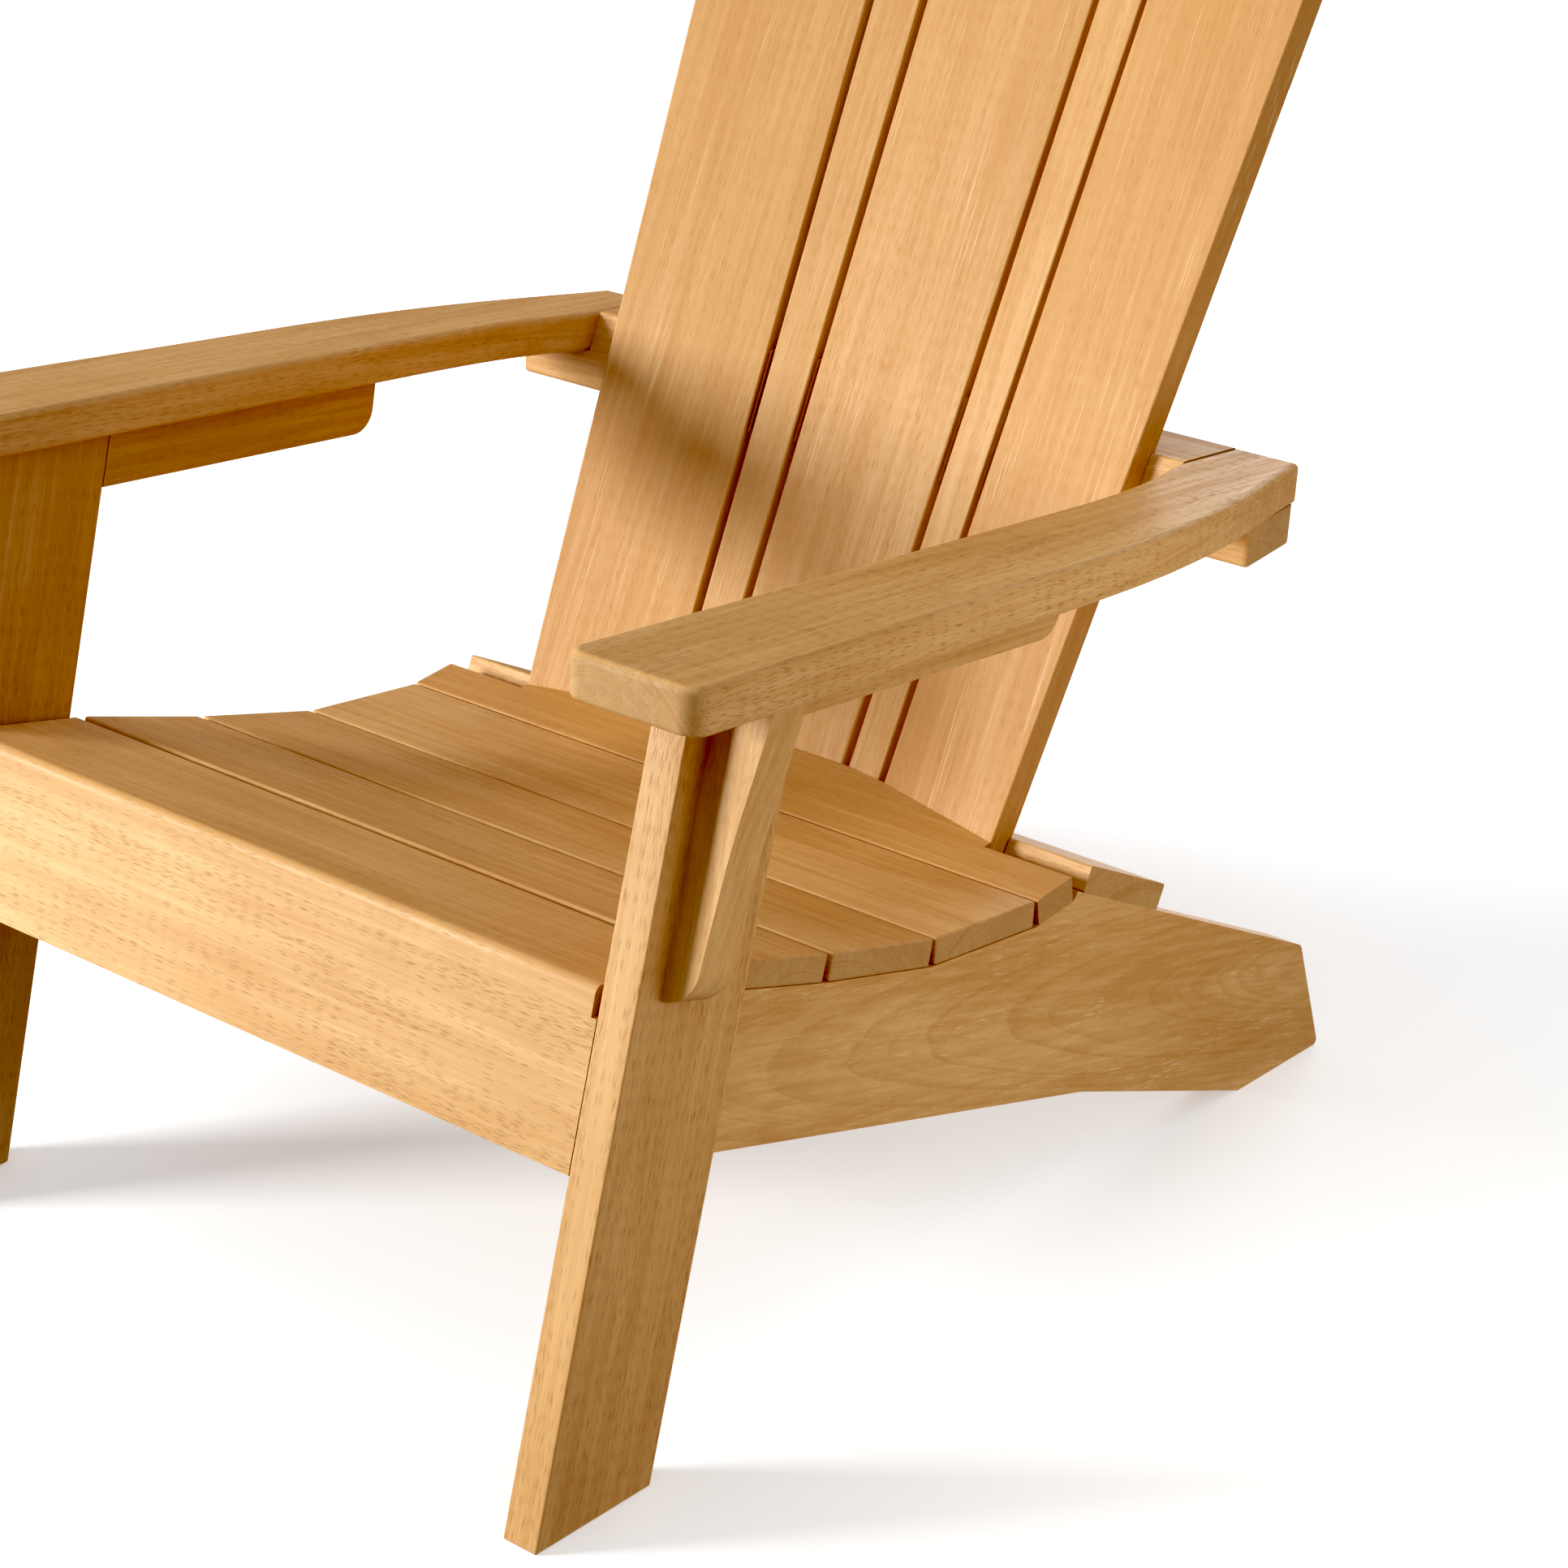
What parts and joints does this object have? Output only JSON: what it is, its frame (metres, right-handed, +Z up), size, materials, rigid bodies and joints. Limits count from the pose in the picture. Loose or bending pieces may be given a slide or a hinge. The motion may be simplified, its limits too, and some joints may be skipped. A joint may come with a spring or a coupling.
{
  "type": "adirondack chair",
  "caption": "Low hardwood adirondack garden chair with a raked fan back, scooped slatted seat and broad sloping arms on corbels.",
  "frame": {"origin": "on the floor, below the middle of the chair's overall width and depth", "axes": "+Z up, the sitter faces -Y, +X to the sitter's left"},
  "size_m": [0.7732, 0.9379, 0.9137],
  "materials": {
    "hardwood": "oiled",
    "dowel_wood": "unfinished",
    "bolt_steel": "satin",
    "insert_brass": "satin",
    "spacer_nylon": "matt"
  },
  "bodies": {
    "root": {"apron_dowels": "dowel_wood", "arm_corbel_left": "hardwood", "arm_corbel_right": "hardwood", "arm_dowels": "dowel_wood", "arm_left": "hardwood", "arm_rail_dowels": "dowel_wood", "arm_rail_left": "hardwood", "arm_rail_right": "hardwood", "arm_rail_screws": "bolt_steel", "arm_right": "hardwood", "back_board_centre": "hardwood", "back_board_narrow_left": "hardwood", "back_board_narrow_right": "hardwood", "back_board_wide_left": "hardwood", "back_board_wide_right": "hardwood", "back_dowels": "dowel_wood", "back_top_batten": "hardwood", "batten_dowels": "dowel_wood", "bolt_washers": "bolt_steel", "corbel_dowels": "dowel_wood", "crossbar_dowels": "dowel_wood", "crossbar_screws": "bolt_steel", "front_apron": "hardwood", "front_leg_left": "hardwood", "front_leg_right": "hardwood", "leg_bolts": "bolt_steel", "leg_inserts": "insert_brass", "leg_spacers": "spacer_nylon", "lower_crossbar": "hardwood", "rear_seat_slat": "hardwood", "seat_dowels": "dowel_wood", "seat_slat_1": "hardwood", "seat_slat_2": "hardwood", "seat_slat_3": "hardwood", "seat_slat_4": "hardwood", "seat_slat_5": "hardwood", "side_stringer_left": "hardwood", "side_stringer_right": "hardwood", "upper_crossbar": "hardwood"}
  },
  "joints": []
}
